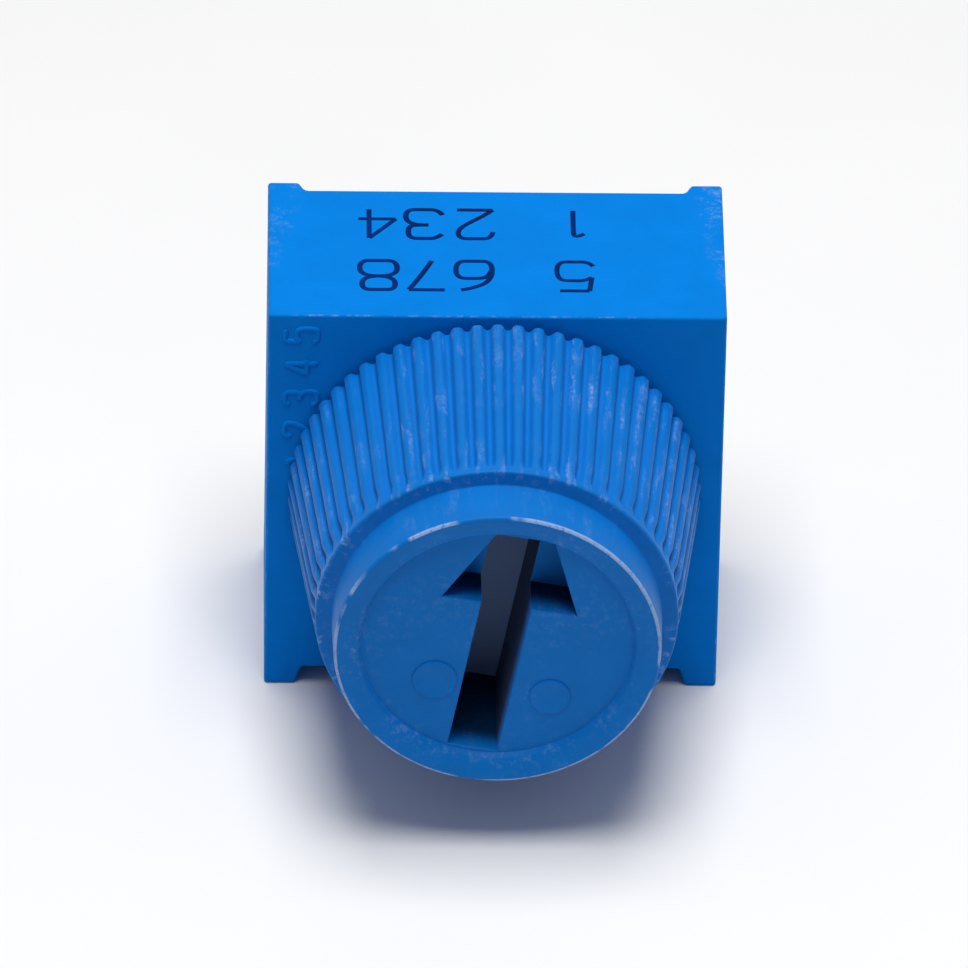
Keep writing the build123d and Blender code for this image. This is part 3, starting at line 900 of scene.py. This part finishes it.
def build_print(sizes, material):
    """Two lines of plain digits printed on the top face, read from the pins' side."""
    block_front = knob_high.y + bpy.context.scene.knob_sizes.gap / MM
    line_places = ((block_front + 1.46, "5", "678"), (block_front + 3.32, "1", "234"))
    alone_x, first_x, pitch = 1.65, -0.47, 1.0
    lift = housing_high.z - INK_THICKNESS
    stroke = sizes.print_stroke / MM
    wide, tall = sizes.print_width / MM - stroke, sizes.print_height / MM - stroke
    jitter = random.Random(3)
    digits = []
    for line_y, alone, together in line_places:
        places = [(alone_x, alone)]
        places += [(first_x - pitch * index, digit) for index, digit in enumerate(together)]
        for x, digit in places:
            weight = stroke * jitter.uniform(0.9, 1.05)
            across, up = Vector((-1, 0, 0)), Vector((0, -1, 0))
            mark = drawn_digit(digit, across, up, wide, tall, weight, INK_THICKNESS)
            mark.data.transform(Matrix.Translation((x + jitter.gauss(0, 0.01), line_y, lift)))
            digits.append(mark)
    marks = joined(digits)
    bpy.ops.object.shade_smooth()
    finish_piece(marks, "printed_digits", "housing", material, "housing_plastic")


# ---------------------------------------------------------------- pins and resin


PIN_NODES = ("end_pin_left", "wiper_pin", "end_pin_right")
PIN_SEGMENTS = 48


def pin_place(node):
    """A pin's front and rear ends along Y, its centre as (x, z) and its radius."""
    low, high = box_mm(node)
    return low.y, high.y, ((low.x + high.x) / 2, (low.z + high.z) / 2), (high.x - low.x) / 2


def build_pins(material):
    """Three tinned wires with softly rounded tips and narrow roots inside the resin."""
    for node in PIN_NODES:
        inner_end, tip, centre, radius = pin_place(node)
        rings = [
            (inner_end, radius * 0.88),
            (resin_high.y - 0.1, radius * 0.88),
            (resin_high.y - 0.1, radius),
            (resin_high.y + 1.2, radius),
            (tip - 0.10, radius),
            (tip - 0.05, radius * 0.93),
            (tip - 0.015, radius * 0.78),
            (tip, radius * 0.62),
        ]
        wire = turned(rings, PIN_SEGMENTS, centre)
        close_ends()
        bpy.ops.object.mode_set(mode="OBJECT")
        choose(wire)
        bpy.ops.object.shade_smooth_by_angle(angle=math.radians(40))
        finish_piece(wire, node + "_wire", "housing", material, "pin_metal", node)


def build_resin(material):
    """The resin: a shallow pool that climbs a little at the pocket's walls and round the pins."""
    climb = 0.05
    pool = block(resin_low, resin_high)
    edit(pool)
    pick("FACE", lambda f: f.normal.y > 0.9)
    for inset, fall in ((0.06, climb * 0.5), (0.10, climb * 0.3), (0.22, climb * 0.2)):
        bpy.ops.mesh.inset(thickness=inset, depth=0)
        bpy.ops.transform.translate(value=(0, -fall, 0))
    bpy.ops.object.mode_set(mode="OBJECT")
    choose(pool)
    bpy.ops.object.shade_smooth_by_angle(angle=math.radians(40))
    surface = resin_high.y - climb
    parts = [pool]
    for node in PIN_NODES:
        _, _, centre, radius = pin_place(node)
        rings = [
            (surface - 0.05, radius + 0.34),
            (surface + 0.004, radius + 0.30),
            (surface + 0.02, radius + 0.18),
            (surface + 0.06, radius + 0.08),
            (surface + 0.12, radius + 0.02),
            (surface + 0.14, radius - 0.02),
        ]
        skirt = turned(rings, PIN_SEGMENTS, centre)
        close_ends()
        bpy.ops.object.mode_set(mode="OBJECT")
        choose(skirt)
        bpy.ops.object.shade_smooth_by_angle(angle=math.radians(60))
        parts.append(skirt)
    pool = joined(parts)
    finish_piece(pool, "resin_pool", "housing", material, "resin", "resin")


# ---------------------------------------------------------------- stage


def camera_matrix(target, azimuth, elevation, roll, distance):
    """Where the camera stands and how it is turned, to look at a target."""
    level = math.cos(elevation)
    ahead = Vector((-math.sin(azimuth) * level, math.cos(azimuth) * level, -math.sin(elevation)))
    right = ahead.cross(Vector((0, 0, 1))).normalized()
    up = right.cross(ahead)
    turned_right = math.cos(roll) * right + math.sin(roll) * up
    turned_up = math.cos(roll) * up - math.sin(roll) * right
    turn = Matrix((turned_right, turned_up, -ahead)).transposed().to_4x4()
    return Matrix.Translation(target - ahead * distance) @ turn


def build_stage():
    """A pale floor, one broad soft lamp overhead, a white surround and the camera."""
    block_front = (knob_high.y + bpy.context.scene.knob_sizes.gap / MM) * MM
    clear_selection()
    bpy.ops.mesh.primitive_plane_add(size=0.9, location=(0, 0, 0))
    floor = bpy.context.object
    floor.name = "floor"
    material, nodes = new_material("floor_paper")
    height, variation = grain(nodes, 900.0)
    base = nodes.mix(variation, (0.86, 0.86, 0.865), (0.88, 0.88, 0.885))
    end_material(nodes, base, 0.9, height, 0.02, Specular_IOR_Level=0.1)
    floor.data.materials.append(material)

    lamp_data = bpy.data.lights.new("overhead", "AREA")
    lamp_data.shape = "RECTANGLE"
    lamp_data.size = 0.07
    lamp_data.size_y = 0.10
    lamp_data.energy = 0.245
    lamp = bpy.data.objects.new("overhead", lamp_data)
    bpy.context.collection.objects.link(lamp)
    lamp.location = (0.0, -0.016, 0.16)

    # The surround lights softly, least from the camera's side, and is white wherever it is seen.
    world = bpy.context.scene.world or bpy.data.worlds.new("studio")
    bpy.context.scene.world = world
    world.use_nodes = True
    tree = Nodes(world.node_tree)
    rays = tree.add("ShaderNodeLightPath").outputs
    direction = tree.add("ShaderNodeTexCoord").outputs["Generated"]
    ahead = tree.add("ShaderNodeSeparateXYZ", {0: direction}).outputs["Y"]
    softbox = tree.between(ahead, -0.8, 0.2, 0.13, 0.34)
    seen = tree.math("ADD", rays["Is Camera Ray"], rays["Is Glossy Ray"], clamp=True)
    seen = tree.math("ADD", seen, rays["Is Transmission Ray"], clamp=True)
    strength = tree.math("MAXIMUM", softbox, seen)
    surround = tree.add("ShaderNodeBackground", {"Color": (1, 1, 1, 1), "Strength": strength})
    tree.add("ShaderNodeOutputWorld", {"Surface": surround.outputs[0]})

    camera_data = bpy.data.cameras.new("camera")
    camera_data.sensor_width = 36.0
    camera_data.lens = 622.6
    camera_data.clip_start = 0.01
    camera_data.clip_end = 10.0
    camera = bpy.data.objects.new("camera", camera_data)
    bpy.context.collection.objects.link(camera)
    target = Vector((-0.2136 * MM, block_front, 5.2276 * MM))
    azimuth, elevation, roll = (math.radians(angle) for angle in (-1.4, 35.92, 1.24))
    camera.matrix_world = camera_matrix(target, azimuth, elevation, roll, 0.35)
    bpy.context.scene.camera = camera
    bpy.context.scene.view_settings.view_transform = "Standard"


# ---------------------------------------------------------------- operators


class MakeKnob(bpy.types.Operator):
    """Models the knurled knob and gives it its plastic"""

    bl_idname = "trimmer.make_knob"
    bl_label = "Knob"

    def execute(self, context):
        colours = context.scene.finish_colours
        plastic = plastic_material(
            "knob_plastic",
            colours.knob_blue,
            colours.scuff_and_reflection,
            edge=0.9,
            open_marks=0.10,
            streak=0.14,
            rough=0.5,
            Specular_IOR_Level=0.10,
            Sheen_Weight=0.05,
            Sheen_Roughness=0.35,
            Sheen_Tint=(0.62, 0.66, 1.0, 1.0),
        )
        build_knob(context.scene.knob_sizes, plastic)
        return {"FINISHED"}


class MakeHousing(bpy.types.Operator):
    """Models the housing with its rails, standoffs and raised digits"""

    bl_idname = "trimmer.make_housing"
    bl_label = "Housing"

    def execute(self, context):
        colours = context.scene.finish_colours
        plastic = plastic_material(
            "housing_plastic",
            colours.housing_blue,
            colours.scuff_and_reflection,
            edge=0.7,
            open_marks=0.0,
            streak=1.0,
            rough=0.45,
            Specular_IOR_Level=0.02,
        )
        build_housing(context.scene.housing_sizes, plastic)
        return {"FINISHED"}


class MakePrint(bpy.types.Operator):
    """Prints plain digits on the housing's top face"""

    bl_idname = "trimmer.make_print"
    bl_label = "Printed digits"

    def execute(self, context):
        shade = context.scene.finish_colours.print_blue
        ink = even_material("print_ink", shade, 0.7, 9000.0, 0.35, Specular_IOR_Level=0.03)
        build_print(context.scene.housing_sizes, ink)
        return {"FINISHED"}


class MakePins(bpy.types.Operator):
    """Models the three tinned pins"""

    bl_idname = "trimmer.make_pins"
    bl_label = "Pins"

    def execute(self, context):
        shade = context.scene.finish_colours.tin
        tin = even_material("tinned_wire", shade, 0.30, 7000.0, 0.08, Metallic=1.0)
        build_pins(tin)
        return {"FINISHED"}


class MakeResin(bpy.types.Operator):
    """Models the resin that closes the back"""

    bl_idname = "trimmer.make_resin"
    bl_label = "Resin"

    def execute(self, context):
        epoxy = even_material("epoxy", context.scene.finish_colours.resin_blue, 0.18, 2500.0, 0.10, 0.1)
        build_resin(epoxy)
        return {"FINISHED"}


class FinishInside(bpy.types.Operator):
    """Gives the pieces inside the housing their finishes"""

    bl_idname = "trimmer.finish_inside"
    bl_label = "Inner finishes"

    def execute(self, context):
        colours = context.scene.finish_colours
        finishes = {
            "rotor": even_material("rotor_plastic", colours.rotor_white, 0.45, 9000.0),
            "o_ring": even_material("seal_rubber", (0.30, 0.05, 0.02), 0.55, 11000.0),
            "wiper_contact": even_material("spring_alloy", (0.62, 0.50, 0.30), 0.28, 9000.0, Metallic=1.0),
            "ceramic_plate": even_material("alumina", (0.82, 0.80, 0.76), 0.70, 16000.0, 0.04),
            "resistive_track": even_material("cermet", (0.025, 0.023, 0.027), 0.60, 20000.0, 0.20),
            "solder": even_material("solder", (0.45, 0.46, 0.47), 0.25, 5000.0, 0.10, Metallic=1.0),
            "film": even_material("palladium_silver", (0.52, 0.50, 0.46), 0.45, 18000.0, 0.08, Metallic=1.0),
        }
        wearers = {
            "film": ("end_pad_left", "end_pad_right", "collector"),
            "solder": ("solder_left", "solder_middle", "solder_right"),
        }
        for name, material in finishes.items():
            for node in wearers.get(name, (name,)):
                for slot in frame["nodes"][node].material_slots:
                    slot.material = material
        return {"FINISHED"}


class MakeStage(bpy.types.Operator):
    """Sets up the floor, the lamp, the surround and the camera"""

    bl_idname = "trimmer.make_stage"
    bl_label = "Stage"

    def execute(self, context):
        build_stage()
        return {"FINISHED"}


OPERATORS = (MakeKnob, MakeHousing, MakePrint, MakePins, MakeResin, FinishInside, MakeStage)
GROUP_TYPES = (KnobSizes, HousingSizes, FinishColours)


class TrimmerPanel(bpy.types.Panel):
    """The steps, sizes and colours in the 3D view's sidebar"""

    bl_idname = "VIEW3D_PT_trimmer"
    bl_label = "Trimmer potentiometer"
    bl_space_type = "VIEW_3D"
    bl_region_type = "UI"
    bl_category = "Trimmer"

    def draw(self, context):
        for kind in OPERATORS:
            self.layout.operator(kind.bl_idname)
        for name in ("knob_sizes", "housing_sizes", "finish_colours"):
            settings = getattr(context.scene, name)
            column = self.layout.column()
            for key in settings.__annotations__:
                column.prop(settings, key)


def register():
    """Adds the operators, the panel and the scene's settings"""
    for kind in GROUP_TYPES + OPERATORS + (TrimmerPanel,):
        bpy.utils.register_class(kind)
    bpy.types.Scene.knob_sizes = bpy.props.PointerProperty(type=KnobSizes)
    bpy.types.Scene.housing_sizes = bpy.props.PointerProperty(type=HousingSizes)
    bpy.types.Scene.finish_colours = bpy.props.PointerProperty(type=FinishColours)


def unregister():
    """Takes them away again"""
    del bpy.types.Scene.finish_colours
    del bpy.types.Scene.housing_sizes
    del bpy.types.Scene.knob_sizes
    for kind in reversed(GROUP_TYPES + OPERATORS + (TrimmerPanel,)):
        bpy.utils.unregister_class(kind)


def main():
    """Builds everything in order."""
    register()
    bpy.ops.trimmer.make_stage()
    bpy.ops.trimmer.make_knob()
    bpy.ops.trimmer.make_housing()
    bpy.ops.trimmer.make_print()
    bpy.ops.trimmer.make_pins()
    bpy.ops.trimmer.make_resin()
    bpy.ops.trimmer.finish_inside()


if __name__ == "__main__":
    main()
